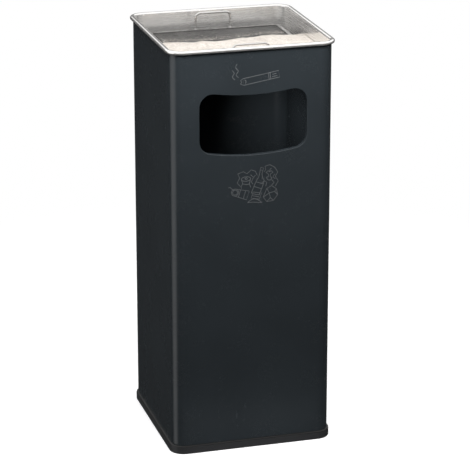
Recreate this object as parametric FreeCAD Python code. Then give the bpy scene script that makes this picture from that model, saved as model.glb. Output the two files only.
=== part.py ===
"""Square free-standing ashtray bin: a sheet-steel housing with a front waste opening, a lift-out
galvanised liner with a bail, a stainless ash pan hung on the housing's top edge, and a lift-out
sieve lying in the pan's sand.

Millimetres. The origin is the centre of the footprint on the floor, +Z is up and the front, with
the waste opening, faces -Y.
"""
import FreeCAD, Part
import math
import os
from FreeCAD import Vector

# ---------------------------------------------------------------- driving dimensions

# housing
overall_height = 630.0
body_width = 248.0
corner_radius = 20.0
shell_sheet = 1.0
seam_width = 0.8
seam_depth = 0.3

# waste opening in the front wall, both long edges bowed downwards; heights at its middle
opening_width = 164.0
opening_height = 91.0
opening_drop = 73.0
opening_bow_radius = 365.0
opening_corner_radius = 20.0
opening_lip_depth = 7.0
opening_edge_round = 0.9

# plastic edge guard round the foot of the housing
guard_height = 13.5
guard_wall = 3.0
guard_floor = 2.5
guard_inner_height = 9.0
guard_inner_wall = 1.5
guard_top_round = 2.0
guard_bottom_round = 1.5
guard_fit = 0.1

# base plate, a shallow tray welded inside the housing
base_sheet = 1.0
base_guard_gap = 1.5
base_flange = 14.0
base_bend = 2.0
weld_gap = 0.05

# ash pan
pan_sheet = 0.8
pan_clearance = 1.0
pan_over_opening = 13.0
pan_bend = 8.0
rim_height = 6.0
rim_overhang = 4.8
rim_curl_end = 115.0

# sieve
sieve_side_gap = 14.7
sieve_corner = 10.0
sieve_drop = 27.0
sieve_shift = -5.0
mesh_sheet = 0.8
mesh_pitch = 14.0
mesh_bar = 4.5
binding_width = 6.0
binding_height = 3.0
binding_slot_depth = 4.8
binding_fit = 0.05
binding_round = 0.7
handle_width = 58.0
handle_height = 27.0
handle_wire = 3.4
handle_bend = 7.0

# sand: cover over the sieve, and the bank that falls away from it, measured from its rear edge
sand_gap = 0.3
sand_cover = 4.8
sand_front_cover = 3.6
sand_hollow = 12.0
bank_crest = 78.0
bank_toe = 34.0
bank_crest_round = 60.0
bank_toe_round = 25.0

# liner
liner_drop = 114.2
liner_sheet = 0.6
liner_clearance = 1.5
liner_bend = 2.0
liner_flange = 10.0
liner_wire = 3.0
liner_wire_gap = 0.1
liner_curl_end = 120.0

# bail and its ears
bail_wire = 5.0
bail_hook_bend = 4.0
bail_bend = 14.0
bail_rest_gap = 1.0
bail_head_step = 0.7
bail_head_length = 1.2
bail_fit = 0.08
bail_side_gap = 0.3
ear_sheet = 1.5
ear_radius = 8.0
ear_reach = 30.0
rivet_radius = 2.0
rivet_head_radius = 3.5
rivet_head_height = 1.5
rivet_tail_height = 1.0
rivet_fit = 0.05
rivet_drops = (12.0, 24.0)

# clearance under every piece that only rests on another
seat_gap = 0.3

# drawing aids: how far a cutter overshoots, how close an edge must lie to a plane to be picked,
# and the largest share of a sheet's thickness that its edge may be rounded by
cut_margin = 1.0
pick_tolerance = 0.01
edge_round_limit = 0.9

# ---------------------------------------------------------------- derived sizes

corner_centre = body_width / 2 - corner_radius
shell_outer = body_width / 2
shell_inner = shell_outer - shell_sheet

guard_outer = shell_outer + guard_wall
shell_bottom = guard_floor + guard_fit
base_lift = guard_inner_height + base_guard_gap
base_top = base_lift + base_sheet
opening_bottom = overall_height - opening_drop - opening_height

pan_outer = shell_inner - pan_clearance
pan_inner = pan_outer - pan_sheet
pan_underside = overall_height - opening_drop + pan_over_opening
pan_floor = pan_underside + pan_sheet
rim_radius = rim_height / 2
rim_outer = shell_outer + rim_overhang
rim_level = overall_height - rim_radius
rim_inner_axis = pan_inner + rim_radius
rim_outer_axis = rim_outer - rim_radius
rim_hollow = rim_radius - pan_sheet

# the pan hangs by the inside of its rolled rim on the inner edge of the housing's wall
rim_seat = rim_level + math.sqrt(rim_hollow ** 2 - (rim_inner_axis - shell_inner) ** 2)
shell_top = rim_seat - seat_gap

sieve_half = pan_inner - sieve_side_gap
sieve_centre = sieve_half - sieve_corner
mesh_top = overall_height - sieve_drop
mesh_bottom = mesh_top - mesh_sheet
binding_bottom = (mesh_top + mesh_bottom - binding_height) / 2
binding_top = binding_bottom + binding_height
mesh_half = sieve_half - (binding_width - binding_slot_depth)

# the liner's curled edge clears the waste opening's lip as the liner is lifted out
liner_roll = liner_wire / 2 + liner_wire_gap + liner_sheet
liner_inner = shell_outer - opening_lip_depth - liner_clearance - 2 * liner_roll
liner_outer = liner_inner + liner_sheet
liner_bottom = base_top + seat_gap
liner_top = opening_bottom - liner_drop
liner_roll_axis = liner_inner + liner_roll
liner_roll_level = liner_top - liner_roll

bail_level = liner_top + bail_rest_gap + bail_wire / 2
bail_reach = liner_roll_axis
bail_head_radius = bail_wire / 2 + bail_head_step
ear_outer_face = liner_inner - weld_gap
ear_inner_face = ear_outer_face - ear_sheet
bail_arm = ear_inner_face - bail_side_gap - bail_hook_bend

X_AXIS = Vector(1, 0, 0)
Y_AXIS = Vector(0, 1, 0)
Z_AXIS = Vector(0, 0, 1)
ORIGIN = Vector(0, 0, 0)


# ---------------------------------------------------------------- drawing helpers

def line(start, end):
    return Part.makeLine(start, end)


def section_point(half_width, height):
    """A point of a wall section: distance from the middle of the bin, and height."""
    return Vector(half_width, 0, height)


def section_on_circle(centre, radius, angle):
    """A point of a wall section on a circle, its angle in degrees from outwards to upwards."""
    turn = math.radians(angle)
    return Vector(centre.x + radius * math.cos(turn), 0, centre.z + radius * math.sin(turn))


def section_arc(centre, radius, start, end):
    middle = (start + end) / 2
    points = [section_on_circle(centre, radius, angle) for angle in (start, middle, end)]
    return Part.Arc(*points).toShape()


def section_face(edges):
    return Part.Face(Part.Wire(edges))


def carry_round(section, centre):
    """Carry a wall section once round a rounded square whose corners turn about (centre, centre)."""
    pieces = []
    for quarter in range(4):
        side = section.translated(Vector(0, -centre, 0)).extrude(Vector(0, 2 * centre, 0))
        bend = section.translated(Vector(0, centre, 0))
        bend = bend.revolve(Vector(centre, centre, 0), Z_AXIS, 90)
        for piece in (side, bend):
            piece.rotate(ORIGIN, Z_AXIS, 90 * quarter)
            pieces.append(piece)
    return pieces[0].fuse(pieces[1:]).removeSplitter().Solids[0]


def rounded_prism(half, radius, bottom, top):
    """An upright prism on a square of the given half width with rounded corners."""
    flat = half - radius
    reach = radius * math.sqrt(0.5)
    edges = []
    for quarter in range(4):
        arc = Part.Arc(
            Vector(half, flat, bottom),
            Vector(flat + reach, flat + reach, bottom),
            Vector(flat, half, bottom),
        ).toShape()
        side = line(Vector(half, -flat, bottom), Vector(half, flat, bottom))
        for edge in (side, arc):
            edge.rotate(ORIGIN, Z_AXIS, 90 * quarter)
            edges.append(edge)
    return Part.Face(Part.Wire(edges)).extrude(Vector(0, 0, top - bottom))


def tray(outer_half, sheet, bend, bottom, top):
    """A pressed sheet tray: flat floor, bent-up flange, with the corners of the housing."""
    inner_half = outer_half - sheet
    floor_half = inner_half - bend
    centre = section_point(floor_half, bottom + sheet + bend)
    edges = [
        line(section_point(floor_half, bottom), section_point(floor_half, bottom + sheet)),
        section_arc(centre, bend, -90, 0),
        line(section_point(inner_half, centre.z), section_point(inner_half, top)),
        line(section_point(inner_half, top), section_point(outer_half, top)),
        line(section_point(outer_half, top), section_point(outer_half, centre.z)),
        section_arc(centre, bend + sheet, 0, -90),
    ]
    flange = carry_round(section_face(edges), corner_centre)
    floor = rounded_prism(floor_half, floor_half - corner_centre, bottom, bottom + sheet)
    return flange.fuse(floor).removeSplitter().Solids[0]


def rod(path_edges, radius):
    """A round wire along a path of tangent lines and arcs."""
    path = Part.Wire(path_edges)
    start = path_edges[0].valueAt(path_edges[0].FirstParameter)
    heading = path_edges[0].tangentAt(path_edges[0].FirstParameter)
    section = Part.Wire(Part.Circle(start, heading, radius).toShape())
    return path.makePipeShell([section], True, True).Solids[0]


def bent_path(corners, bends):
    """Lines through the corners, each inner corner rounded by a tangent arc of its own radius."""
    edges = []
    previous = corners[0]
    for index in range(1, len(corners) - 1):
        corner = corners[index]
        before = (corners[index - 1] - corner).normalize()
        after = (corners[index + 1] - corner).normalize()
        half_turn = before.getAngle(after) / 2
        cut = bends[index - 1] / math.tan(half_turn)
        inward = (before + after).normalize()
        middle_distance = bends[index - 1] / math.sin(half_turn) - bends[index - 1]
        arc_start = corner + before * cut
        arc_end = corner + after * cut
        edges.append(line(previous, arc_start))
        edges.append(Part.Arc(arc_start, corner + inward * middle_distance, arc_end).toShape())
        previous = arc_end
    edges.append(line(previous, corners[-1]))
    return edges


# ---------------------------------------------------------------- housing

def opening_prism(grow, front, back):
    """The waste opening's outline, moved outwards by grow, as a prism along Y."""
    half = opening_width / 2 + grow
    corner = opening_corner_radius + grow
    top_radius = opening_bow_radius - grow
    bottom_radius = opening_bow_radius + grow
    top_centre = opening_bottom + opening_height + opening_bow_radius
    bottom_centre = opening_bottom + opening_bow_radius
    corner_x = half - corner
    top_corner_z = top_centre - math.sqrt((top_radius + corner) ** 2 - corner_x ** 2)
    bottom_corner_z = bottom_centre - math.sqrt((bottom_radius - corner) ** 2 - corner_x ** 2)

    def at(x, z):
        return Vector(x, front, z)

    def touch(centre_z, radius, corner_z, side):
        """Where a corner circle touches a long edge's circle."""
        reach = math.hypot(corner_x, corner_z - centre_z)
        return at(side * corner_x * radius / reach, centre_z + (corner_z - centre_z) * radius / reach)

    def corner_arc(start, end, centre_x, centre_z):
        middle = (start + end) * 0.5 - at(centre_x, centre_z)
        middle.normalize()
        return Part.Arc(start, at(centre_x, centre_z) + middle * corner, end).toShape()

    top_left = touch(top_centre, top_radius, top_corner_z, -1)
    top_right = touch(top_centre, top_radius, top_corner_z, 1)
    bottom_left = touch(bottom_centre, bottom_radius, bottom_corner_z, -1)
    bottom_right = touch(bottom_centre, bottom_radius, bottom_corner_z, 1)
    edges = [
        Part.Arc(top_left, at(0, top_centre - top_radius), top_right).toShape(),
        corner_arc(top_right, at(half, top_corner_z), corner_x, top_corner_z),
        line(at(half, top_corner_z), at(half, bottom_corner_z)),
        corner_arc(at(half, bottom_corner_z), bottom_right, corner_x, bottom_corner_z),
        Part.Arc(bottom_right, at(0, bottom_centre - bottom_radius), bottom_left).toShape(),
        corner_arc(bottom_left, at(-half, bottom_corner_z), -corner_x, bottom_corner_z),
        line(at(-half, bottom_corner_z), at(-half, top_corner_z)),
        corner_arc(at(-half, top_corner_z), top_left, -corner_x, top_corner_z),
    ]
    return Part.Face(Part.Wire(edges)).extrude(Vector(0, back - front, 0))


def make_body_shell():
    """Sheet tube with a welded rear seam and a waste opening whose edge is turned inwards."""
    shell = rounded_prism(shell_outer, corner_radius, shell_bottom, shell_top)
    hollow = rounded_prism(shell_inner, corner_radius - shell_sheet, shell_bottom, shell_top)
    shell = shell.cut(hollow)
    front = -shell_outer
    shell = shell.cut(opening_prism(shell_sheet, front, -shell_inner))
    lip = opening_prism(shell_sheet, front, front + opening_lip_depth)
    lip = lip.cut(opening_prism(0, front, front + opening_lip_depth))
    shell = shell.fuse(lip).removeSplitter()
    side_limit = opening_width / 2 + pick_tolerance
    lip_edges = []
    for edge in shell.Edges:
        box = edge.BoundBox
        in_front = abs(box.YMin - front) + abs(box.YMax - front) < pick_tolerance
        if in_front and -box.XMin < side_limit and box.XMax < side_limit:
            lip_edges.append(edge)
    shell = shell.makeFillet(min(opening_edge_round, edge_round_limit * shell_sheet), lip_edges)
    seam = Part.makeBox(
        seam_width, seam_depth, shell_top - shell_bottom,
        Vector(-seam_width / 2, shell_outer - seam_depth, shell_bottom),
    )
    return shell.cut(seam).Solids[0]


def make_base_plate():
    return tray(shell_inner - weld_gap, base_sheet, base_bend, base_lift, base_lift + base_flange)


def make_edge_guard():
    """Plastic channel pushed over the housing's lower edge; the bin stands on it."""
    outer_face = shell_outer + guard_fit
    inner_face = shell_inner - guard_fit
    inner_back = inner_face - guard_inner_wall
    top_centre = section_point(guard_outer - guard_top_round, guard_height - guard_top_round)
    foot_centre = section_point(guard_outer - guard_bottom_round, guard_bottom_round)
    corners = [
        (guard_outer - guard_top_round, guard_height),
        (outer_face, guard_height),
        (outer_face, guard_floor),
        (inner_face, guard_floor),
        (inner_face, guard_inner_height),
        (inner_back, guard_inner_height),
        (inner_back, 0),
        (guard_outer - guard_bottom_round, 0),
    ]
    points = [section_point(*corner) for corner in corners]
    edges = [line(start, end) for start, end in zip(points, points[1:])]
    edges.append(section_arc(foot_centre, guard_bottom_round, -90, 0))
    edges.append(line(
        section_point(guard_outer, guard_bottom_round),
        section_point(guard_outer, guard_height - guard_top_round),
    ))
    edges.append(section_arc(top_centre, guard_top_round, 0, 90))
    return carry_round(section_face(edges), corner_centre)


# ---------------------------------------------------------------- liner

def make_liner_shell():
    """Galvanised sheet tube, its top edge curled outwards round a wire."""
    roll_centre = section_point(liner_roll_axis, liner_roll_level)
    hollow_radius = liner_roll - liner_sheet
    end = -liner_curl_end
    edges = [
        line(section_point(liner_outer, liner_roll_level), section_point(liner_outer, liner_bottom)),
        line(section_point(liner_outer, liner_bottom), section_point(liner_inner, liner_bottom)),
        line(section_point(liner_inner, liner_bottom), section_point(liner_inner, liner_roll_level)),
        section_arc(roll_centre, liner_roll, 180, end),
        line(
            section_on_circle(roll_centre, liner_roll, end),
            section_on_circle(roll_centre, hollow_radius, end),
        ),
        section_arc(roll_centre, hollow_radius, end, 180),
    ]
    wall = carry_round(section_face(edges), corner_centre)
    for side in (-1, 1):
        for drop in rivet_drops:
            start = Vector(side * (liner_inner - cut_margin), 0, liner_top - drop)
            length = liner_sheet + 2 * cut_margin
            wall = wall.cut(Part.makeCylinder(rivet_radius + rivet_fit, length, start, X_AXIS * side))
    return wall.Solids[0]


def make_liner_bottom():
    half = liner_inner - weld_gap
    return tray(half, liner_sheet, liner_bend, liner_bottom, liner_bottom + liner_flange)


def make_liner_rim_wire():
    centre = section_point(liner_roll_axis, liner_roll_level)
    circle = Part.Circle(centre, Y_AXIS, liner_wire / 2).toShape()
    return carry_round(Part.Face(Part.Wire(circle)), corner_centre)


def make_bail_ear(side):
    """Lug riveted to the liner's inner side wall, with the bail's eye above the rim."""
    thickness = Vector(ear_sheet, 0, 0)
    left = ear_inner_face
    low = liner_top - ear_reach
    outline = [
        line(Vector(left, ear_radius, bail_level), Vector(left, ear_radius, low)),
        line(Vector(left, ear_radius, low), Vector(left, -ear_radius, low)),
        line(Vector(left, -ear_radius, low), Vector(left, -ear_radius, bail_level)),
        Part.Arc(
            Vector(left, -ear_radius, bail_level),
            Vector(left, 0, bail_level + ear_radius),
            Vector(left, ear_radius, bail_level),
        ).toShape(),
    ]
    ear = Part.Face(Part.Wire(outline)).extrude(thickness)
    eye = Part.makeCylinder(bail_wire / 2 + bail_fit, ear_sheet, Vector(left, 0, bail_level), X_AXIS)
    ear = ear.cut(eye)
    for drop in rivet_drops:
        centre = Vector(left, 0, liner_top - drop)
        ear = ear.cut(Part.makeCylinder(rivet_radius + rivet_fit, ear_sheet, centre, X_AXIS))
    if side < 0:
        ear = ear.mirror(ORIGIN, X_AXIS)
    return ear.Solids[0]


def make_ear_rivet(side, drop):
    """Domed head inside the liner, shank through ear and wall, flat tail outside."""
    level = liner_top - drop
    shank_length = liner_outer - ear_inner_face
    shank = Part.makeCylinder(rivet_radius, shank_length, Vector(ear_inner_face, 0, level), X_AXIS)
    tail = Part.makeCylinder(
        rivet_head_radius, rivet_tail_height, Vector(liner_outer, 0, level), X_AXIS,
    )
    dome_radius = (rivet_head_radius ** 2 + rivet_head_height ** 2) / (2 * rivet_head_height)
    dome = Part.makeSphere(dome_radius, Vector(ear_inner_face + dome_radius - rivet_head_height, 0, level))
    keep = Part.makeBox(
        rivet_head_height, 2 * dome_radius, 2 * dome_radius,
        Vector(ear_inner_face - rivet_head_height, -dome_radius, level - dome_radius),
    )
    rivet = shank.fuse([tail, dome.common(keep)]).removeSplitter()
    if side < 0:
        rivet = rivet.mirror(ORIGIN, X_AXIS)
    return rivet.Solids[0]


def make_bail():
    """Bent-wire handle with its hooked, headed ends in the ears, laid back on the rear rim."""
    tip = ear_outer_face + bail_side_gap + bail_head_length
    corners = [
        Vector(tip, 0, bail_level),
        Vector(bail_arm, 0, bail_level),
        Vector(bail_arm, bail_reach, bail_level),
        Vector(-bail_arm, bail_reach, bail_level),
        Vector(-bail_arm, 0, bail_level),
        Vector(-tip, 0, bail_level),
    ]
    bends = [bail_hook_bend, bail_bend, bail_bend, bail_hook_bend]
    bail = rod(bent_path(corners, bends), bail_wire / 2)
    for side in (-1, 1):
        start = Vector(side * (tip - bail_head_length), 0, bail_level)
        head = Part.makeCylinder(bail_head_radius, bail_head_length, start, X_AXIS * side)
        bail = bail.fuse(head)
    return bail.removeSplitter().Solids[0]


# ---------------------------------------------------------------- ash pan, sieve and sand

def make_ash_pan():
    """Deep-drawn stainless tray whose rim rolls outwards over the housing's top edge."""
    floor_half = pan_inner - pan_bend
    bend_centre = section_point(floor_half, pan_floor + pan_bend)
    inner_axis = section_point(rim_inner_axis, rim_level)
    outer_axis = section_point(rim_outer_axis, rim_level)
    end = -rim_curl_end
    edges = [
        line(section_point(floor_half, pan_underside), section_point(floor_half, pan_floor)),
        section_arc(bend_centre, pan_bend, -90, 0),
        line(section_point(pan_inner, bend_centre.z), section_point(pan_inner, rim_level)),
        section_arc(inner_axis, rim_radius, 180, 90),
        line(
            section_point(rim_inner_axis, overall_height),
            section_point(rim_outer_axis, overall_height),
        ),
        section_arc(outer_axis, rim_radius, 90, end),
        line(
            section_on_circle(outer_axis, rim_radius, end),
            section_on_circle(outer_axis, rim_hollow, end),
        ),
        section_arc(outer_axis, rim_hollow, end, 90),
        line(
            section_point(rim_outer_axis, overall_height - pan_sheet),
            section_point(rim_inner_axis, overall_height - pan_sheet),
        ),
        section_arc(inner_axis, rim_hollow, 90, 180),
        line(section_point(pan_outer, rim_level), section_point(pan_outer, bend_centre.z)),
        section_arc(bend_centre, pan_bend + pan_sheet, 0, -90),
    ]
    wall = carry_round(section_face(edges), corner_centre)
    floor = rounded_prism(floor_half, floor_half - corner_centre, pan_underside, pan_floor)
    return wall.fuse(floor).removeSplitter().Solids[0]


def make_sieve_mesh():
    """Perforated plate: diamond holes in staggered rows, standing for the fine mesh's open area."""
    radius = sieve_corner - (sieve_half - mesh_half)
    plate = rounded_prism(mesh_half, radius, mesh_bottom, mesh_top)
    half_hole = (mesh_pitch - mesh_bar) * math.sqrt(0.5)
    half_step = mesh_pitch * math.sqrt(0.5)
    field = sieve_half - binding_width - half_hole
    count = int(field / half_step)
    holes = []
    for row in range(-count, count + 1):
        for column in range(-count, count + 1):
            if (row + column) % 2:
                continue
            x = column * half_step
            y = row * half_step
            corners = [
                Vector(x - half_hole, y, mesh_bottom),
                Vector(x, y - half_hole, mesh_bottom),
                Vector(x + half_hole, y, mesh_bottom),
                Vector(x, y + half_hole, mesh_bottom),
            ]
            diamond = Part.Face(Part.makePolygon(corners + corners[:1]))
            holes.append(diamond.extrude(Vector(0, 0, mesh_sheet)))
    plate = plate.cut(Part.makeCompound(holes))
    plate.translate(Vector(0, sieve_shift, 0))
    return plate.Solids[0]


def make_sieve_binding():
    """Steel strip folded round the mesh's edge."""
    inner = sieve_half - binding_width
    slot = sieve_half - (binding_width - binding_slot_depth) + binding_fit
    slot_low = mesh_bottom - binding_fit
    slot_high = mesh_top + binding_fit
    low_centre = section_point(sieve_half - binding_round, binding_bottom + binding_round)
    high_centre = section_point(sieve_half - binding_round, binding_top - binding_round)
    corners = [
        (sieve_half - binding_round, binding_top),
        (inner, binding_top),
        (inner, slot_high),
        (slot, slot_high),
        (slot, slot_low),
        (inner, slot_low),
        (inner, binding_bottom),
        (sieve_half - binding_round, binding_bottom),
    ]
    points = [section_point(*corner) for corner in corners]
    edges = [line(start, end) for start, end in zip(points, points[1:])]
    edges.append(section_arc(low_centre, binding_round, -90, 0))
    edges.append(line(
        section_point(sieve_half, low_centre.z),
        section_point(sieve_half, high_centre.z),
    ))
    edges.append(section_arc(high_centre, binding_round, 0, 90))
    binding = carry_round(section_face(edges), sieve_centre)
    return binding.translated(Vector(0, sieve_shift, 0))


def sieve_handle_y(side):
    return sieve_shift + side * (sieve_half - binding_width / 2)


def make_sieve_handle(side):
    """Upright wire loop welded on the binding at the middle of one edge."""
    y = sieve_handle_y(side)
    leg = (handle_width - handle_wire) / 2
    top = binding_top + handle_height - handle_wire / 2
    corners = [
        Vector(-leg, y, binding_top),
        Vector(-leg, y, top),
        Vector(leg, y, top),
        Vector(leg, y, binding_top),
    ]
    return rod(bent_path(corners, [handle_bend, handle_bend]), handle_wire / 2)


def make_sand_bed():
    """Sand that fills the pan round and over the sieve, drawn back from the sieve's rear strip."""
    half = pan_inner - sand_gap
    bottom = pan_floor + sand_gap
    bend = pan_bend - sand_gap
    ceiling = overall_height + cut_margin
    block = rounded_prism(half, half - corner_centre, bottom, overall_height)
    foot_edges = [edge for edge in block.Edges if edge.BoundBox.ZMax < bottom + pick_tolerance]
    block = block.makeFillet(bend, foot_edges)

    sieve_rear = sieve_shift + sieve_half
    hollow_level = mesh_top - sand_hollow
    surface_points = [
        Vector(-half, half, hollow_level),
        Vector(-half, sieve_rear - bank_toe, hollow_level),
        Vector(-half, sieve_rear - bank_crest, mesh_top + sand_cover),
        Vector(-half, -half, mesh_top + sand_front_cover),
    ]
    above = bent_path(surface_points, [bank_toe_round, bank_crest_round])
    above.append(line(surface_points[-1], Vector(-half, -half, ceiling)))
    above.append(line(Vector(-half, -half, ceiling), Vector(-half, half, ceiling)))
    above.append(line(Vector(-half, half, ceiling), surface_points[0]))
    sand = block.cut(Part.Face(Part.Wire(above)).extrude(Vector(2 * half, 0, 0)))

    envelope_half = sieve_half + sand_gap
    envelope = rounded_prism(
        envelope_half, sieve_corner + sand_gap, binding_bottom - sand_gap, binding_top + sand_gap,
    )
    sand = sand.cut(envelope.translated(Vector(0, sieve_shift, 0)))
    leg = (handle_width - handle_wire) / 2
    for side in (-1, 1):
        start = Vector(side * leg, sieve_handle_y(-1), binding_bottom)
        sand = sand.cut(Part.makeCylinder(handle_wire / 2 + sand_gap, handle_height, start, Z_AXIS))
    return sand


# ---------------------------------------------------------------- output

nodes = {
    "body_shell": [make_body_shell()],
    "base_plate": [make_base_plate()],
    "edge_guard": [make_edge_guard()],
    "liner_shell": [make_liner_shell()],
    "liner_bottom": [make_liner_bottom()],
    "liner_rim_wire": [make_liner_rim_wire()],
    "bail_ear_left": [make_bail_ear(-1)],
    "bail_ear_right": [make_bail_ear(1)],
    "ear_rivets": [make_ear_rivet(side, drop) for side in (-1, 1) for drop in rivet_drops],
    "liner_bail": [make_bail()],
    "ash_pan": [make_ash_pan()],
    "sand_bed": make_sand_bed().Solids,
    "sieve_mesh": [make_sieve_mesh()],
    "sieve_binding": [make_sieve_binding()],
    "sieve_handle_front": [make_sieve_handle(-1)],
    "sieve_handle_rear": [make_sieve_handle(1)],
}

os.makedirs("parts", exist_ok=True)
for name, solids in nodes.items():
    shape = solids[0] if len(solids) == 1 else Part.makeCompound(solids)
    shape.exportStep(f"parts/{name}.step")
    box = shape.BoundBox
    print(
        f"{name}: {len(solids)} solid, valid {shape.isValid()}, {shape.Volume / 1000:.2f} cm3,",
        f"x {box.XMin:.2f} {box.XMax:.2f}, y {box.YMin:.2f} {box.YMax:.2f},",
        f"z {box.ZMin:.2f} {box.ZMax:.2f}",
    )
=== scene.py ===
"""Looks of a square ashtray bin: powder-coated housing, stainless ash pan with sand and a
lift-out sieve, galvanised liner. Metres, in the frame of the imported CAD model: +Z up, the front
wall with the waste opening faces -Y.
"""
import math
import random

import bmesh
import bpy
from mathutils import Matrix, Vector, noise


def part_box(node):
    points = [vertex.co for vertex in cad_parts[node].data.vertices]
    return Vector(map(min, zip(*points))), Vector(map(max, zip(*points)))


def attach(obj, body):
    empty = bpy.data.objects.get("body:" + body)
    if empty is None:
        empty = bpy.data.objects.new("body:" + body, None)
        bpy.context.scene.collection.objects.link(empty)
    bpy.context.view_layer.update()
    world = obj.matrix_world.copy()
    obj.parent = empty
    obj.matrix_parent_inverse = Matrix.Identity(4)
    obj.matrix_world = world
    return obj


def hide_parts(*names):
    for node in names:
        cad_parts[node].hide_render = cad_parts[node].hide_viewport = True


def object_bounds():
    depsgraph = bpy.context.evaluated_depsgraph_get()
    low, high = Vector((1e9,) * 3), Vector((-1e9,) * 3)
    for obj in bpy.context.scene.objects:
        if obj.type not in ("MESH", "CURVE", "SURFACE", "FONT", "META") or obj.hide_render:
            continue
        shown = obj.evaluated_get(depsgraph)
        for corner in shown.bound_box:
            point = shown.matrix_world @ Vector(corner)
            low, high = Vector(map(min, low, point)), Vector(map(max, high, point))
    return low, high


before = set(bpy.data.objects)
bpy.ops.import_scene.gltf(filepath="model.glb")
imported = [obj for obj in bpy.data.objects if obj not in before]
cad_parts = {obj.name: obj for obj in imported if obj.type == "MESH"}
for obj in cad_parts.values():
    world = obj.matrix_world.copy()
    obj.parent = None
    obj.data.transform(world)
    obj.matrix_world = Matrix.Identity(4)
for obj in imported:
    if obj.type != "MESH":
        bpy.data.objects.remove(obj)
cad_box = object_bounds()

MM = 0.001
random.seed(7)
noise.seed_set(7)

# ---------------------------------------------------------------- places taken from the frame

sand_low, sand_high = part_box("sand_bed")
plate_low, plate_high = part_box("sieve_mesh")
binding_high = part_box("sieve_binding")[1]

front_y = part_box("body_shell")[0].y
guard_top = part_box("edge_guard")[1].z
pan_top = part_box("ash_pan")[1].z
plate_middle = (plate_low + plate_high) / 2
plate_half = (plate_high.x - plate_low.x) / 2
plate_top = plate_high.z

# ---------------------------------------------------------------- sizes

# expanded-metal sieve plate: its diamonds, how far a strand's edge leaves the plate's plane, the
# plate's own corner, and the border along its edge where the strands lie flat
mesh_long_pitch = 7.6 * MM
mesh_short_pitch = 5.2 * MM
mesh_hole_share = 0.70
mesh_twist = 0.5 * MM
mesh_corner = 8.8 * MM
mesh_flat_border = 5.5 * MM

# sand: the bank's edge on the sieve, as (x, y) places across the pan in millimetres
bank_edge = (
    (-121.0, 45.0), (-96.0, 42.0), (-55.0, 34.0), (-12.0, 32.0), (30.0, 40.0), (67.0, 46.0), (121.0, 39.0),
)
bank_run = 12.0 * MM
bank_steepness = 2.3
bank_wander = 5.0 * MM
bank_raggedness = 2.2 * MM
hollow_depth = 24.0 * MM
field_depth = 0.6 * MM
field_wave_depth = 0.9 * MM
field_wave_run = 40 * MM
swell_height = 0.75 * MM
ripple_height = 0.38 * MM
grain_height = 0.22 * MM
hollow_roughness = 0.35
most_above_sand = 1.2 * MM
sand_cell = 1.25 * MM
sand_corner = 16.9 * MM
sand_foot_inset = 7.0 * MM

# loose grains on the sieve: how many are thrown, how widely, and the least distance from its edge
grain_count = 420
grain_field = 98
grain_scatter = 9
grain_edge_margin = 8 * MM

# welds that hold the sieve's handles, as (distance from the wire's axis, height) points of their
# outline; binding_half_width is the most that they reach across the strip they sit on
weld_wire = 1.7 * MM
weld_spread = 1.5 * MM
weld_turns = 20
weld_unevenness = 0.10
weld_outline = (
    (weld_wire + weld_spread, 0.0),
    (weld_wire + weld_spread * 0.72, 0.45 * MM),
    (weld_wire + weld_spread * 0.35, 1.0 * MM),
    (weld_wire + 0.1 * MM, 1.9 * MM),
    (weld_wire - 0.3 * MM, 2.2 * MM),
    (weld_wire - 0.3 * MM, 0.0),
)
binding_half_width = 2.9 * MM

# printed drawings
ink_height = 0.05 * MM
ink_width = 0.9 * MM
ink_sunk = 0.01 * MM
ink_top_share = 0.8
stroke_steps = 8

# places on materials: the scuffed foot of the coat, the painted shadow line along the guard's upper edge,
# the pan's polished rim, and the depths between which the sand turns dark with painted shade in the hollow
# under the sieve
scuff_low, scuff_high = 0.02, 0.14
# heights over which the guard's top edge is painted near-black as the shadow where it meets the wall
painted_shadow_start, painted_shadow_full = guard_top - 2.6 * MM, guard_top - 1.4 * MM
polish_start = pan_top - 7 * MM
polish_blend = 2 * MM
# depths between which the sand is painted dark as the shade in the hollow under the sieve
hollow_shade_full, hollow_shade_start = sand_high.z - 15 * MM, sand_high.z - 9 * MM

# floor disc, white near the object and clear at its edge
floor_reach = 1.1
floor_fade_start = 0.25


# ---------------------------------------------------------------- material kit

def set_range(node, limits):
    """Set a Map Range node from (from low, from high, to low, to high)."""
    for name, number in zip(("From Min", "From Max", "To Min", "To Max"), limits):
        node.inputs[name].default_value = number


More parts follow.
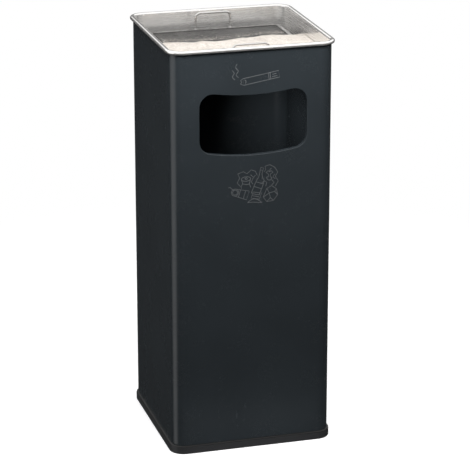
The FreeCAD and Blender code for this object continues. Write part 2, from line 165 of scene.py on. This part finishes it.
class Graph:
    """A Principled material with short calls for the nodes that feed it."""

    def __init__(self, name):
        self.material = bpy.data.materials.new(name)
        self.material.use_nodes = True
        self.nodes = self.material.node_tree.nodes
        self.links = self.material.node_tree.links
        self.nodes.clear()
        self.shader = self.nodes.new("ShaderNodeBsdfPrincipled")
        output = self.nodes.new("ShaderNodeOutputMaterial")
        self.links.new(self.shader.outputs["BSDF"], output.inputs["Surface"])
        self.place = self.nodes.new("ShaderNodeTexCoord").outputs["Object"]
        self.bumped = None

    def set(self, **values):
        for name, value in values.items():
            self.shader.inputs[name.replace("_", " ")].default_value = value

    def join(self, source, target):
        """Feed a socket from another socket or with a plain value."""
        if isinstance(source, bpy.types.NodeSocket):
            self.links.new(source, target)
        else:
            target.default_value = source

    def stretched(self, x, y, z, turn=0.0):
        node = self.nodes.new("ShaderNodeMapping")
        node.inputs["Scale"].default_value = (x, y, z)
        node.inputs["Rotation"].default_value = (0, 0, turn)
        self.join(self.place, node.inputs["Vector"])
        return node.outputs["Vector"]

    def noise(self, scale, detail=2.0, roughness=0.5, at=None):
        node = self.nodes.new("ShaderNodeTexNoise")
        node.inputs["Scale"].default_value = scale
        node.inputs["Detail"].default_value = detail
        node.inputs["Roughness"].default_value = roughness
        self.join(at or self.place, node.inputs["Vector"])
        return node.outputs["Fac"]

    def cells(self, scale, output="Distance", at=None):
        node = self.nodes.new("ShaderNodeTexVoronoi")
        node.inputs["Scale"].default_value = scale
        self.join(at or self.place, node.inputs["Vector"])
        return node.outputs[output]

    def remap(self, value, low, high, to_low=0.0, to_high=1.0):
        node = self.nodes.new("ShaderNodeMapRange")
        node.interpolation_type = "SMOOTHSTEP"
        self.join(value, node.inputs["Value"])
        set_range(node, (low, high, to_low, to_high))
        return node.outputs["Result"]

    def math(self, operation, first, second=0.0):
        node = self.nodes.new("ShaderNodeMath")
        node.operation = operation
        self.join(first, node.inputs[0])
        self.join(second, node.inputs[1])
        return node.outputs["Value"]

    def mix(self, share, first, second):
        node = self.nodes.new("ShaderNodeMix")
        node.data_type = "RGBA"
        self.join(share, node.inputs[0])
        self.join(first, node.inputs[6])
        self.join(second, node.inputs[7])
        return node.outputs[2]

    def height(self):
        node = self.nodes.new("ShaderNodeSeparateXYZ")
        self.join(self.place, node.inputs["Vector"])
        return node.outputs["Z"]

    def split(self, color):
        """The red, green and blue of a colour, as three unrelated random numbers of a cell."""
        node = self.nodes.new("ShaderNodeSeparateColor")
        self.join(color, node.inputs["Color"])
        return node.outputs

    def bump(self, height, distance):
        node = self.nodes.new("ShaderNodeBump")
        node.inputs["Distance"].default_value = distance
        self.join(height, node.inputs["Height"])
        if self.bumped:
            self.join(self.bumped, node.inputs["Normal"])
        self.bumped = node.outputs["Normal"]
        self.join(self.bumped, self.shader.inputs["Normal"])

    def color(self, value):
        self.join(value, self.shader.inputs["Base Color"])

    def rough(self, value):
        self.join(value, self.shader.inputs["Roughness"])


def grey(level, tint=(1.0, 1.0, 1.0)):
    return (level * tint[0], level * tint[1], level * tint[2], 1.0)


# ---------------------------------------------------------------- materials

def make_powder_coat():
    """Anthracite powder coat: fine orange peel, faint clouding, scuffs near the foot."""
    graph = Graph("powder_coat")
    tint = (0.82, 1.0, 1.14)
    clouds = graph.noise(9.0, 4.0, 0.55)
    paint = graph.mix(graph.remap(clouds, 0.3, 0.7), grey(0.028, tint), grey(0.032, tint))
    scuff = graph.noise(70.0, 6.0, 0.7, graph.stretched(1.0, 1.0, 0.35))
    low = graph.remap(graph.height(), scuff_low, scuff_high, 1.0, 0.0)
    worn = graph.math("MULTIPLY", graph.remap(scuff, 0.60, 0.78), low)
    graph.color(graph.mix(graph.math("MULTIPLY", worn, 0.5), paint, grey(0.055, tint)))
    fine = graph.noise(1400.0, 2.0)
    smears = graph.noise(24.0, 5.0, 0.6)
    smeared = graph.remap(smears, 0.3, 0.7, 0.19, 0.24)
    roughness = graph.math("ADD", smeared, graph.remap(fine, 0.3, 0.7, 0.0, 0.05))
    graph.rough(graph.math("ADD", roughness, graph.math("MULTIPLY", worn, 0.15)))
    graph.bump(graph.noise(620.0, 3.0, 0.5), 0.030 * MM)
    graph.bump(graph.noise(2600.0, 2.0), 0.006 * MM)
    graph.set(IOR=1.5)
    return graph.material


def make_stainless(name, level, rough_low, rough_high, polished_above=None, metallic=1.0):
    """Stainless steel: long fine polishing lines and faint clouding, smoother above a height if given."""
    graph = Graph(name)
    tint = (1.0, 0.985, 0.965)
    lines = graph.noise(1.0, 3.0, 0.6, graph.stretched(14.0, 14.0, 2600.0))
    clouds = graph.noise(11.0, 3.0, 0.5)
    shade = graph.math("ADD", graph.math("MULTIPLY", lines, 0.6), graph.math("MULTIPLY", clouds, 0.4))
    graph.color(graph.mix(graph.remap(shade, 0.35, 0.65), grey(level * 0.94, tint), grey(level, tint)))
    roughness = graph.remap(shade, 0.3, 0.7, rough_low, rough_high)
    if polished_above:
        satin = graph.remap(graph.height(), polished_above, polished_above + polish_blend, 1.0, 0.42)
        roughness = graph.math("MULTIPLY", roughness, satin)
    graph.rough(roughness)
    graph.bump(lines, 0.003 * MM)
    graph.set(Metallic=metallic)
    return graph.material


def make_galvanised():
    """Hot-dip galvanised sheet: dull grey with angular spangle."""
    graph = Graph("galvanised")
    warped = graph.stretched(1.0, 1.0, 1.0, 0.4)
    spangle = graph.split(graph.cells(120.0, output="Color", at=warped))
    flake = graph.split(graph.cells(260.0, output="Color", at=warped))
    large = graph.math("MULTIPLY", spangle[0], 0.7)
    shade = graph.math("ADD", large, graph.math("MULTIPLY", flake[1], 0.3))
    graph.color(graph.mix(shade, (0.42, 0.43, 0.44, 1.0), (0.60, 0.61, 0.62, 1.0)))
    graph.rough(graph.remap(spangle[1], 0.0, 1.0, 0.34, 0.52))
    graph.bump(graph.noise(900.0, 3.0), 0.02 * MM)
    graph.bump(spangle[2], 0.03 * MM)
    graph.set(Metallic=1.0)
    return graph.material


def make_guard_plastic():
    """Matt black moulded plastic: fine grain, a rubbed foot, and a painted shadow line along its upper edge
    where it meets the wall.
    """
    graph = Graph("guard_plastic")
    rubbed = graph.noise(55.0, 6.0, 0.7)
    low = graph.remap(graph.height(), 0.0, 0.006, 1.0, 0.0)
    worn = graph.math("MULTIPLY", graph.remap(rubbed, 0.5, 0.75), low)
    face = graph.mix(worn, grey(0.030, (0.98, 1.0, 1.06)), grey(0.07))
    # painted shadow: over the guard's top millimetre or so, where it meets the housing's wall, the colour
    # goes near-black (0.003) as the shade in that gap
    painted_shadow_share = graph.remap(graph.height(), painted_shadow_start, painted_shadow_full)
    graph.color(graph.mix(painted_shadow_share, face, grey(0.003)))
    graph.rough(graph.remap(graph.noise(40.0, 4.0), 0.3, 0.7, 0.46, 0.58))
    graph.bump(graph.noise(1900.0, 3.0, 0.6), 0.03 * MM)
    return graph.material


def make_sand():
    """Pale quartz sand: single grains of several tones, with relief, and dark ash-grey painted shade in the
    low hollow under the sieve.
    """
    graph = Graph("sand")
    grains = graph.split(graph.cells(1500.0, output="Color"))
    drift = graph.noise(30.0, 4.0, 0.6)
    mottle = graph.noise(210.0, 3.0, 0.6)
    tone = graph.math("ADD", graph.math("MULTIPLY", drift, 0.45), graph.math("MULTIPLY", mottle, 0.55))
    base = graph.mix(graph.remap(tone, 0.38, 0.62), (0.48, 0.43, 0.375, 1.0), (0.68, 0.625, 0.565, 1.0))
    toned = graph.mix(graph.remap(grains[0], 0.55, 1.0), base, (0.86, 0.83, 0.79, 1.0))
    dark = graph.remap(grains[1], 0.90, 0.97)
    toned = graph.mix(graph.math("MULTIPLY", dark, 0.55), toned, (0.30, 0.24, 0.19, 1.0))
    # painted shade: deeper than these heights the sand's colour goes to a dark ash-grey, as the shade in the
    # low hollow under the sieve
    hollow = graph.remap(graph.height(), hollow_shade_full, hollow_shade_start, 1.0, 0.0)
    hollow_shade_color = graph.mix(mottle, (0.045, 0.043, 0.040, 1.0), (0.12, 0.115, 0.108, 1.0))
    graph.color(graph.mix(hollow, toned, hollow_shade_color))
    graph.rough(graph.remap(grains[2], 0.0, 1.0, 0.55, 0.95))
    graph.bump(graph.cells(1500.0), 0.35 * MM)
    graph.bump(graph.noise(420.0, 4.0, 0.6), 0.5 * MM)
    return graph.material


def make_ink():
    """Grey screen-print ink, a little broken where the coat's grain shows through."""
    graph = Graph("print_ink")
    broken = graph.noise(1300.0, 4.0, 0.7)
    patch = graph.noise(90.0, 3.0)
    share = graph.math("MULTIPLY", graph.remap(broken, 0.30, 0.55), graph.remap(patch, 0.2, 0.6, 0.6, 1.0))
    graph.color(graph.mix(share, grey(0.035, (0.92, 1.0, 1.06)), grey(0.15, (0.96, 1.0, 1.03))))
    graph.rough(graph.remap(patch, 0.3, 0.7, 0.42, 0.58))
    graph.bump(broken, 0.01 * MM)
    return graph.material


def make_floor_material():
    """White floor that fades into the white surroundings away from the object."""
    graph = Graph("floor_white")
    graph.color(graph.mix(graph.noise(3.0), grey(0.93), grey(0.95)))
    graph.rough(0.9)
    graph.set(Emission_Color=(1.0, 1.0, 1.0, 1.0), Emission_Strength=0.55)
    radius = graph.nodes.new("ShaderNodeVectorMath")
    radius.operation = "LENGTH"
    graph.join(graph.place, radius.inputs[0])
    fade = graph.remap(radius.outputs["Value"], floor_fade_start, floor_reach)
    clear = graph.nodes.new("ShaderNodeBsdfTransparent")
    blend = graph.nodes.new("ShaderNodeMixShader")
    graph.join(fade, blend.inputs[0])
    graph.join(graph.shader.outputs["BSDF"], blend.inputs[1])
    graph.join(clear.outputs["BSDF"], blend.inputs[2])
    graph.join(blend.outputs["Shader"], graph.nodes["Material Output"].inputs["Surface"])
    return graph.material


powder_coat = make_powder_coat()
pan_steel = make_stainless("pan_steel", 0.80, 0.20, 0.30, polish_start, 0.8)
sieve_steel = make_stainless("sieve_steel", 0.46, 0.20, 0.32)
mesh_steel = make_stainless("mesh_steel", 0.34, 0.22, 0.34)
wire_steel = make_stainless("wire_steel", 0.74, 0.12, 0.20)
galvanised = make_galvanised()
guard_plastic = make_guard_plastic()
sand_material = make_sand()
ink = make_ink()

cad_finish = {
    "body_shell": powder_coat,
    "edge_guard": guard_plastic,
    "base_plate": galvanised,
    "liner_shell": galvanised,
    "liner_bottom": galvanised,
    "liner_rim_wire": galvanised,
    "bail_ear_left": galvanised,
    "bail_ear_right": galvanised,
    "ear_rivets": galvanised,
    "liner_bail": galvanised,
    "ash_pan": pan_steel,
    "sieve_binding": sieve_steel,
    "sieve_handle_front": wire_steel,
    "sieve_handle_rear": wire_steel,
}
for name, material in cad_finish.items():
    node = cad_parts[name]
    node.data.materials.clear()
    node.data.materials.append(material)


# ---------------------------------------------------------------- mesh helpers

def new_piece(name, bm, material, smooth=True):
    mesh = bpy.data.meshes.new(name)
    bmesh.ops.recalc_face_normals(bm, faces=bm.faces)
    bm.to_mesh(mesh)
    bm.free()
    for polygon in mesh.polygons:
        polygon.use_smooth = smooth
    mesh.materials.append(material)
    piece = bpy.data.objects.new(name, mesh)
    bpy.context.scene.collection.objects.link(piece)
    return piece


def inside_rounded_square(x, y, half, corner):
    """The nearest point to (x, y) within a rounded square."""
    x = max(-half, min(half, x))
    y = max(-half, min(half, y))
    flat = half - corner
    over = Vector((max(0.0, abs(x) - flat), max(0.0, abs(y) - flat)))
    if over.length > corner:
        over = over.normalized() * corner
        x = math.copysign(flat + over.x, x)
        y = math.copysign(flat + over.y, y)
    return x, y


def smooth_between(points, x):
    """A value at x on a smooth line through (x, value) points."""
    for (x0, v0), (x1, v1) in zip(points, points[1:]):
        if x <= x1:
            t = max(0.0, (x - x0) / (x1 - x0))
            return v0 + (v1 - v0) * t * t * (3 - 2 * t)
    return points[-1][1]


# ---------------------------------------------------------------- sieve plate

def make_sieve_plate():
    """Expanded metal: staggered diamonds whose strands are twisted a little out of the plane."""
    bm = bmesh.new()
    half_long = mesh_long_pitch / 2
    half_short = mesh_short_pitch / 2
    field = plate_half - half_short
    knuckles = {}

    def knuckle(column, row):
        key = (column, row)
        if key not in knuckles:
            x, y = inside_rounded_square(column * half_long, row * half_short, plate_half, mesh_corner)
            knuckles[key] = bm.verts.new((x, y, 0.0))
        return knuckles[key]

    columns = int(field / half_long)
    rows = int(field / half_short)
    for column in range(-columns, columns + 1):
        for row in range(-rows, rows + 1):
            if (column + row) % 2:
                continue
            outer = [
                knuckle(column + 1, row),
                knuckle(column, row + 1),
                knuckle(column - 1, row),
                knuckle(column, row - 1),
            ]
            x = column * half_long
            y = row * half_short
            edge = plate_half - max(abs(x), abs(y))
            twist = mesh_twist * min(1.0, max(0.0, edge / mesh_flat_border - 1.0))
            inner = []
            for dx, dy in ((1, 0), (0, 1), (-1, 0), (0, -1)):
                point = Vector((x + dx * half_long * mesh_hole_share, y + dy * half_short * mesh_hole_share))
                hole_x, hole_y = inside_rounded_square(point.x, point.y, plate_half, mesh_corner)
                inner.append(bm.verts.new((hole_x, hole_y, dy * twist)))
            for corner in range(4):
                after = (corner + 1) % 4
                bm.faces.new((outer[corner], outer[after], inner[after], inner[corner]))
    bmesh.ops.remove_doubles(bm, verts=bm.verts, dist=0.01 * MM)
    plate = new_piece("sieve_plate", bm, mesh_steel, smooth=False)
    plate.location = (plate_middle.x, plate_middle.y, plate_top)
    thicken = plate.modifiers.new("sheet", "SOLIDIFY")
    thicken.thickness = plate_high.z - plate_low.z
    thicken.offset = -1.0
    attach(plate, "sieve")
    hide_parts("sieve_mesh")
    return plate


# ---------------------------------------------------------------- sand

def sand_height(x, y):
    """Level of the sand: a low hollow at the rear, a bank, and a gently rippled field in front."""
    edge = smooth_between(bank_edge, x / MM) * MM
    edge += noise.noise(Vector((x * 55, 4.4, 0.5))) * bank_wander
    edge += noise.noise(Vector((x * 190, y * 120, 2.5))) * bank_raggedness
    low = sand_high.z - hollow_depth
    top = sand_high.z - field_depth - field_wave_depth * (1 + math.sin(y / field_wave_run)) * 0.5
    step = (edge - y) / bank_run
    share = 1 / (1 + math.exp(-bank_steepness * step))
    level = low + (top - low) * share
    swell = noise.noise(Vector((x * 28, y * 28, 3.1))) * swell_height
    ripple = noise.noise(Vector((x * 110, y * 110, 8.7))) * ripple_height
    grain = noise.noise(Vector((x * 520, y * 520, 1.3))) * grain_height
    return level + (swell + ripple) * (hollow_roughness + (1 - hollow_roughness) * share) + grain


def make_sand_surface():
    """Closed body of sand with a fine grid on top."""
    bm = bmesh.new()
    half = sand_high.x
    count = int(round(2 * half / sand_cell))
    grid = {}
    floor = {}
    for i in range(count + 1):
        for j in range(count + 1):
            x = -half + 2 * half * i / count
            y = -half + 2 * half * j / count
            x, y = inside_rounded_square(x, y, half, sand_corner)
            level = min(sand_height(x, y), sand_high.z + most_above_sand)
            grid[i, j] = bm.verts.new((x, y, level))
    rim = [(i, 0) for i in range(count)]
    rim += [(count, j) for j in range(count)]
    rim += [(count - i, count) for i in range(count)]
    rim += [(0, count - j) for j in range(count)]
    for key in rim:
        top = grid[key].co
        x, y = inside_rounded_square(top.x, top.y, half - sand_foot_inset, sand_corner - sand_foot_inset)
        wall_foot = bm.verts.new((top.x, top.y, sand_low.z + sand_foot_inset))
        floor[key] = (wall_foot, bm.verts.new((x, y, sand_low.z)))
    for i in range(count):
        for j in range(count):
            corners = [grid[i, j], grid[i + 1, j], grid[i + 1, j + 1], grid[i, j + 1]]
            bm.faces.new(corners)
    for key, after in zip(rim, rim[1:] + rim[:1]):
        bm.faces.new((grid[after], grid[key], floor[key][0], floor[after][0]))
        bm.faces.new((floor[after][0], floor[key][0], floor[key][1], floor[after][1]))
    bm.faces.new([floor[key][1] for key in rim])
    bmesh.ops.remove_doubles(bm, verts=bm.verts, dist=0.02 * MM)
    sand = new_piece("sand_surface", bm, sand_material)
    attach(sand, "pan")
    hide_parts("sand_bed")
    return sand


def make_loose_grains():
    """Grains spilled over the sieve along the bank's edge."""
    bm = bmesh.new()
    for _ in range(grain_count):
        x = random.uniform(-grain_field, grain_field) * MM
        edge = smooth_between(bank_edge, x / MM) * MM
        y = edge + abs(random.gauss(0, grain_scatter)) * MM
        size = random.uniform(0.35, 0.75) * MM
        if y > binding_high.y - grain_edge_margin:
            continue
        place = Matrix.Translation((x, y, plate_top + size * 0.55))
        turn = Matrix.Rotation(random.uniform(0, 6.28), 4, "Z")
        stretch = Matrix.Diagonal((1.0, random.uniform(0.7, 0.95), random.uniform(0.6, 0.9), 1.0))
        made = bmesh.ops.create_icosphere(bm, subdivisions=1, radius=size, matrix=place @ turn @ stretch)
        for vertex in made["verts"]:
            vertex.co += noise.noise_vector(vertex.co * 900) * size * 0.2
    grains = new_piece("loose_grains", bm, sand_material)
    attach(grains, "sieve")
    return grains


# ---------------------------------------------------------------- welds on the sieve

def make_handle_welds(handle_name, piece_name):
    """A small uneven fillet of weld round each foot of a wire handle."""
    low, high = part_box(handle_name)
    middle_y = (low.y + high.y) / 2
    bm = bmesh.new()
    for foot_x in (low.x + weld_wire, high.x - weld_wire):
        rings = []
        for radius, lift in weld_outline:
            ring = []
            for turn in range(weld_turns):
                angle = math.tau * turn / weld_turns
                spot = Vector((math.cos(angle) * 2, math.sin(angle) * 2, foot_x * 90))
                uneven = 1 + weld_unevenness * noise.noise(spot)
                reach = radius * uneven if radius > weld_wire else radius
                x = foot_x + reach * math.cos(angle)
                y = max(-binding_half_width, min(binding_half_width, reach * math.sin(angle)))
                ring.append(bm.verts.new((x, middle_y + y, binding_high.z + lift)))
            rings.append(ring)
        for ring, after in zip(rings, rings[1:] + rings[:1]):
            for turn in range(weld_turns):
                following = (turn + 1) % weld_turns
                bm.faces.new((ring[turn], ring[following], after[following], after[turn]))
    welds = new_piece(piece_name, bm, sieve_steel)
    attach(welds, "sieve")
    return welds


# ---------------------------------------------------------------- printed drawings

def smooth_stroke(points, closed):
    """Points along a smooth line through the given ones."""
    count = len(points)
    spans = count if closed else count - 1
    line = []
    for span in range(spans):
        ends = []
        for offset in (-1, 0, 1, 2):
            index = span + offset
            index = index % count if closed else max(0, min(count - 1, index))
            ends.append(Vector(points[index]))
        for step in range(stroke_steps):
            t = step / stroke_steps
            a = 2 * ends[1]
            b = (ends[2] - ends[0]) * t
            c = (2 * ends[0] - 5 * ends[1] + 4 * ends[2] - ends[3]) * t * t
            d = (3 * ends[1] - ends[0] - 3 * ends[2] + ends[3]) * t * t * t
            line.append((a + b + c + d) / 2)
    if not closed:
        line.append(Vector(points[-1]))
    return line


def straight_stroke(points):
    return [Vector(point) for point in points]


def add_stroke(bm, line, closed, width):
    """A thin raised band of ink along a line in the front wall's plane, sizes in millimetres."""
    count = len(line)
    sunk = -ink_sunk / MM
    raised = ink_height / MM
    sections = []
    for index, point in enumerate(line):
        before = line[index - 1] if closed or index else point
        after = line[(index + 1) % count] if closed or index < count - 1 else point
        along = (after - before).normalized()
        side = Vector((-along.y, along.x)) * width / 2
        top_side = side * ink_top_share
        section = []
        for across, lift in ((side, sunk), (top_side, raised), (-top_side, raised), (-side, sunk)):
            spot = point + across
            section.append(bm.verts.new((spot.x * MM, front_y - lift * MM, spot.y * MM)))
        sections.append(section)
    followers = sections[1:] + sections[:1] if closed else sections[1:]
    for section, following in zip(sections, followers):
        for corner in range(4):
            after = (corner + 1) % 4
            bm.faces.new((section[corner], following[corner], following[after], section[after]))
    if not closed:
        bm.faces.new(sections[0])
        bm.faces.new(sections[-1][::-1])


def make_print(name, drawing, centre, scale, turn):
    """drawing holds (smooth, closed, points) strokes about its own middle, in millimetres."""
    bm = bmesh.new()
    spin = Matrix.Rotation(math.radians(turn), 2)
    for smooth, closed, points in drawing:
        placed = [spin @ Vector(point) * scale + Vector(centre) for point in points]
        line = smooth_stroke(placed, closed) if smooth else straight_stroke(placed)
        add_stroke(bm, line, closed, ink_width / MM)
    piece = new_piece(name, bm, ink, smooth=False)
    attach(piece, "housing")
    return piece


def circle(x, y, radius, count=10, squash=1.0):
    return [
        (x + radius * math.cos(math.tau * i / count), y + radius * squash * math.sin(math.tau * i / count))
        for i in range(count)
    ]


cigarette_drawing = [
    (False, True, [(-22, -5), (33, -5), (33, 5), (-22, 5)]),
    (False, False, [(17, -5), (17, 5)]),
    (False, False, [(19.5, -5), (19.5, 5)]),
    (True, False, [(-22, 5), (-25.5, 3), (-24.5, 0), (-26.5, -2), (-22, -5)]),
    (True, False, [(-19, -3), (-18, 0.5), (-19.5, 3)]),
    (True, False, [(-28, 8), (-31, 13), (-27, 18), (-30, 24), (-27, 29)]),
    (True, False, [(-34, 6), (-37, 11), (-33.5, 16), (-36, 21)]),
    (False, False, [(22, -2), (30, -2)]),
    (False, False, [(23, 1.5), (29, 1.5)]),
]

litter_drawing = [
    # paper cup lying on its side, with lid and straw
    (False, False, [(-34, -14), (-14, -22), (-9, -8), (-31, -3)]),
    (True, True, circle(-32.6, -8.5, 5.8)),
    (True, True, circle(-32.6, -8.5, 4.0)),
    (False, False, [(-35, -5), (-41, 1), (-44, 0)]),
    (False, False, [(-27, -17), (-23.5, -4.7)]),
    (False, False, [(-19, -20), (-15, -6.6)]),
    # bottle leaning to the right
    (True, False, [(-6, -12), (3, 9), (6, 13), (8, 20), (9, 26)]),
    (True, False, [(13, 24.5), (12, 18.5), (13, 12), (15, 5), (7, -16)]),
    (False, True, [(8.6, 26), (13.6, 24.4), (14.6, 28.2), (9.8, 29.8)]),
    (False, False, [(-1, -1), (10.5, -5.5)]),
    (False, False, [(2, 6.5), (14, 2)]),
    # crumpled sheet
    (False, True, [(14, -20), (20, -6), (28, -2), (36, -8), (38, -18), (31, -27), (20, -28)]),
    (False, False, [(20, -6), (24, -14), (14, -20)]),
    (False, False, [(24, -14), (33, -12), (36, -8)]),
    (False, False, [(24, -14), (26, -22), (31, -27)]),
    (False, False, [(26, -22), (20, -28)]),
    (False, False, [(33, -12), (38, -18)]),
    # crushed can
    (True, True, circle(-14.5, 12.5, 7.5, 12, 0.5)),
    (False, False, [(-22, 12.5), (-20, 5), (-23, 0), (-21.5, -2.6)]),
    (False, False, [(-7, 12.5), (-9, 4), (-6.6, -2)]),
    (True, False, [(-16.5, 13.6), (-14, 14.6), (-12.5, 12.6), (-14.6, 11.6), (-16.5, 13.6)]),
    (False, False, [(-20, 5), (-14, 3), (-9, 4)]),
    # apple core
    (True, False, [(19, 12), (22, 8), (26, 8), (28.5, 11)]),
    (True, False, [(19, 12), (22.5, 14), (22, 18), (18.5, 20.5)]),
    (True, False, [(28.5, 11), (25.5, 14), (26.5, 18), (30, 19.5)]),
    (True, False, [(18.5, 20.5), (22, 23), (24.5, 21.5), (27.5, 22.6), (30, 19.5)]),
    (True, False, [(24.5, 21.5), (25.2, 25), (27.5, 27)]),
    # crumpled bag behind the others
    (False, False, [
        (-24, 1), (-29, 7), (-25, 15), (-28, 22), (-19, 25), (-13, 21), (-6, 27), (1, 24), (4, 17),
    ]),
    (False, False, [(-7, 19), (-2, 14), (-6, 7), (-3, 3)]),
    (False, False, [(-2, 14), (1, 18)]),
    (False, False, [
        (15, 22), (18, 25), (17, 31), (25, 33), (33, 28), (38, 20), (34, 13), (39, 5), (34, -3),
    ]),
    (False, False, [(28, 8), (32, 3), (28, -1)]),
    (False, False, [(33, 17), (30, 12), (34, 9)]),
    (False, False, [(12, 4), (16, 7), (20, 4), (18, -2)]),
    # small box in front
    (False, True, [(-6, -20), (8, -23), (11, -13), (-3, -10)]),
    (False, False, [(-3.5, -13), (8.5, -16)]),
    (False, False, [(-4.5, -16), (7.5, -19)]),
    # peel on the ground
    (True, False, [(-12, -27), (-4, -22), (4, -23), (12, -29)]),
    (True, False, [(-12, -27), (-4, -27), (4, -28), (12, -29)]),
]


# ---------------------------------------------------------------- the pieces

make_sieve_plate()
make_sand_surface()
make_loose_grains()
make_handle_welds("sieve_handle_front", "front_handle_welds")
make_handle_welds("sieve_handle_rear", "rear_handle_welds")
make_print("printed_cigarette", cigarette_drawing, (6.0, 581.0), 1.0, 9.0)
make_print("printed_litter", litter_drawing, (2.0, 418.0), 0.93, 0.0)


# ---------------------------------------------------------------- floor, lights and camera

def make_floor():
    bm = bmesh.new()
    corners = circle(0.0, 0.0, floor_reach, 64)
    bm.faces.new([bm.verts.new((x, y, cad_box[0].z)) for x, y in corners])
    floor = new_piece("floor", bm, make_floor_material())
    floor.visible_glossy = False
    floor.visible_diffuse = False
    return floor


def make_light(name, place, aim, width, height, power, mirrored=True):
    """A white rectangular light, hidden from the camera; mirrored says if it shows in reflections."""
    data = bpy.data.lights.new(name, "AREA")
    data.shape = "RECTANGLE"
    data.size = width
    data.size_y = height
    data.energy = power
    light = bpy.data.objects.new(name, data)
    light.location = place
    light.rotation_mode = "QUATERNION"
    light.rotation_quaternion = (Vector(aim) - Vector(place)).to_track_quat("-Z", "Y")
    light.visible_glossy = mirrored
    bpy.context.scene.collection.objects.link(light)
    return light


# brightness of the mirrored surroundings, as (from, to, brightness at from, brightness at to): over
# the direction's height for the dome, and over its X for a soft panel at the far left
dome_ramp = (0.23, 0.37, 0.025, 1.2)
left_panel_ramp = (-0.82, -0.92, 0.0, 1.15)
ambient_level = 0.09


def make_world():
    """Studio surroundings: white for the camera; for reflections a bright dome over a dark horizon."""
    world = bpy.data.worlds.new("studio")
    bpy.context.scene.world = world
    world.use_nodes = True
    nodes = world.node_tree.nodes
    links = world.node_tree.links
    nodes.clear()
    output = nodes.new("ShaderNodeOutputWorld")
    path = nodes.new("ShaderNodeLightPath")
    coordinates = nodes.new("ShaderNodeTexCoord")
    split = nodes.new("ShaderNodeSeparateXYZ")
    links.new(coordinates.outputs["Generated"], split.inputs["Vector"])
    ramps = []
    for axis, ramp in (("Z", dome_ramp), ("X", left_panel_ramp)):
        node = nodes.new("ShaderNodeMapRange")
        node.interpolation_type = "SMOOTHSTEP"
        set_range(node, ramp)
        links.new(split.outputs[axis], node.inputs["Value"])
        ramps.append(node.outputs["Result"])
    brighter = nodes.new("ShaderNodeMath")
    brighter.operation = "MAXIMUM"
    links.new(ramps[0], brighter.inputs[0])
    links.new(ramps[1], brighter.inputs[1])
    levels = {}
    for name, strength in (("seen", 1.0), ("mirrored", 1.0), ("ambient", ambient_level)):
        levels[name] = nodes.new("ShaderNodeBackground")
        levels[name].inputs["Color"].default_value = (1, 1, 1, 1)
        levels[name].inputs["Strength"].default_value = strength
    links.new(brighter.outputs["Value"], levels["mirrored"].inputs["Strength"])
    soft = nodes.new("ShaderNodeMixShader")
    links.new(path.outputs["Is Diffuse Ray"], soft.inputs["Fac"])
    links.new(levels["mirrored"].outputs["Background"], soft.inputs[1])
    links.new(levels["ambient"].outputs["Background"], soft.inputs[2])
    all_rays = nodes.new("ShaderNodeMixShader")
    links.new(path.outputs["Is Camera Ray"], all_rays.inputs["Fac"])
    links.new(soft.outputs["Shader"], all_rays.inputs[1])
    links.new(levels["seen"].outputs["Background"], all_rays.inputs[2])
    links.new(all_rays.outputs["Shader"], output.inputs["Surface"])


def make_camera():
    """Seen from the front left and above, from far off with a long lens."""
    data = bpy.data.cameras.new("camera")
    data.sensor_width = 36.0
    data.lens = 180.8
    data.clip_start = 0.05
    data.clip_end = 50.0
    camera = bpy.data.objects.new("camera", data)
    camera.location = (-0.940, -3.312, 1.468)
    yaw = math.radians(15.958)
    pitch = math.radians(18.724)
    ahead = Vector((math.sin(yaw) * math.cos(pitch), math.cos(yaw) * math.cos(pitch), -math.sin(pitch)))
    camera.rotation_mode = "QUATERNION"
    camera.rotation_quaternion = ahead.to_track_quat("-Z", "Y")
    bpy.context.scene.collection.objects.link(camera)
    bpy.context.scene.camera = camera


make_floor()
make_world()
make_light("key_softbox", (-0.06, -0.50, 1.05), (0, -0.12, 0.42), 0.7, 0.3, 8.5, mirrored=False)
make_light("left_softbox", (-1.05, -1.35, 0.85), (0, -0.05, 0.42), 0.3, 0.5, 0.5)
make_light("top_softbox", (-0.2, 0.1, 1.9), (0, 0, 0.6), 1.2, 1.2, 5.5, mirrored=False)

# a small light just inside the waste opening that shows the housing's inner right wall
inside_place = (0.030, -0.095, 0.515)
inside_fill = make_light("inside_fill", inside_place, (0.115, 0.09, 0.44), 0.02, 0.06, 0.035)
inside_fill.data.spread = math.radians(55)

# a faint strip of light along the front of the foot, as from a pale floor
strip_place = (0.0, -0.215, 0.012)
make_light("foot_strip", strip_place, (0, -0.124, 0.016), 0.24, 0.012, 0.05, mirrored=False)
make_light("rear_softbox", (0.7, 1.5, 0.9), (0, 0, 0.35), 0.8, 0.8, 9.0, mirrored=False)
make_camera()
bpy.context.scene.view_settings.view_transform = "Standard"
